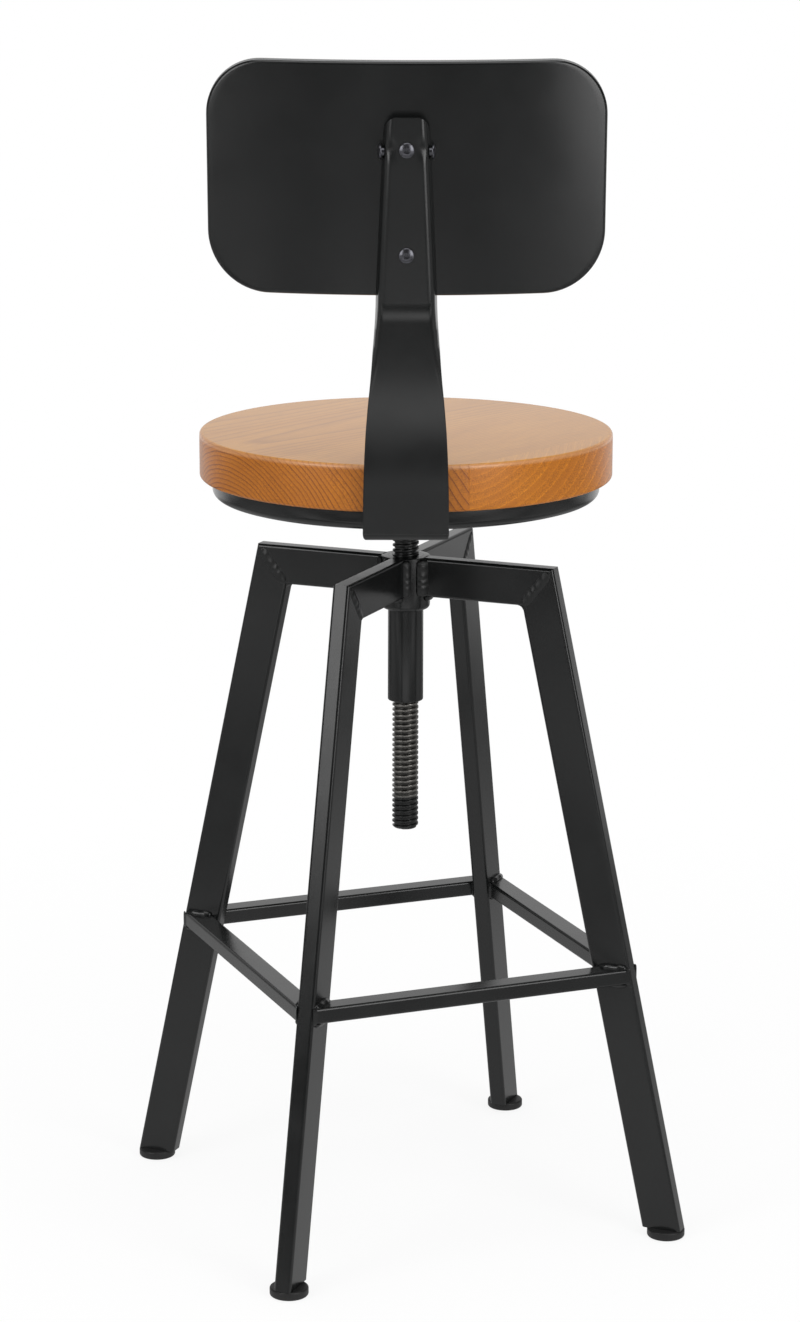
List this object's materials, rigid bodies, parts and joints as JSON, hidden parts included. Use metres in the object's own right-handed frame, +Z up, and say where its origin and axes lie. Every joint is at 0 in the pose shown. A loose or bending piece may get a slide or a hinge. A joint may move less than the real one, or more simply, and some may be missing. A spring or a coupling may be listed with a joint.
{
  "type": "bar stool",
  "caption": "Backed bar stool with a round wooden seat that a threaded column raises as it turns, on a splayed four-leg steel tube frame with a footrest.",
  "frame": {"origin": "On the floor, on the axis of the threaded column, which is the middle of the four feet.", "axes": "+Z up along the column; +Y from the column toward the backrest; +X completes the right-handed set."},
  "size_m": [0.4294, 0.4294, 0.8968],
  "materials": {
    "powder_coated_steel": "satin",
    "oiled_steel": "satin",
    "zinc_steel": "satin",
    "black_bolt": "semi-gloss",
    "glide_plastic": "matte",
    "nylon": "matte",
    "seat_wood": "satin lacquer"
  },
  "bodies": {
    "frame": {"hub_collar": "powder_coated_steel", "screw_sleeve": "powder_coated_steel", "arm_1": "powder_coated_steel", "arm_2": "powder_coated_steel", "arm_3": "powder_coated_steel", "arm_4": "powder_coated_steel", "leg_1": "powder_coated_steel", "leg_2": "powder_coated_steel", "leg_3": "powder_coated_steel", "leg_4": "powder_coated_steel", "footrest_bar_1": "powder_coated_steel", "footrest_bar_2": "powder_coated_steel", "footrest_bar_3": "powder_coated_steel", "footrest_bar_4": "powder_coated_steel", "foot_glide_1": "glide_plastic", "foot_glide_2": "glide_plastic", "foot_glide_3": "glide_plastic", "foot_glide_4": "glide_plastic", "mitre_welds": "powder_coated_steel", "hub_welds": "powder_coated_steel", "footrest_welds": "powder_coated_steel"},
    "riser": {"column_washer": "nylon"},
    "seat": {"lead_screw": "oiled_steel", "screw_flange": "zinc_steel", "flange_bolts": "zinc_steel", "flange_nuts": "zinc_steel", "seat_pan": "powder_coated_steel", "seat_board_1": "seat_wood", "seat_board_2": "seat_wood", "seat_board_3": "seat_wood", "seat_screws": "zinc_steel", "back_strap": "powder_coated_steel", "backrest_bracket": "powder_coated_steel", "backrest_rear_shell": "powder_coated_steel", "backrest_front_shell": "powder_coated_steel", "rear_bolts": "black_bolt", "rear_nuts": "zinc_steel", "side_bolts": "black_bolt"}
  },
  "joints": [
    {"name": "seat_lift", "type": "slide", "parent": "frame", "child": "riser", "axis": [0, 0, 1], "range_m": [-0.04, 0.08]},
    {"name": "seat_turn", "type": "hinge", "parent": "riser", "child": "seat", "pos_m": [0, 0, 0.5], "axis": [0, 0, 1], "range_deg": [-3600, 7200]}
  ],
  "couplings": [
    {"joint": "seat_lift", "follows": "seat_turn", "m_per_rad": 0.00063661}
  ]
}
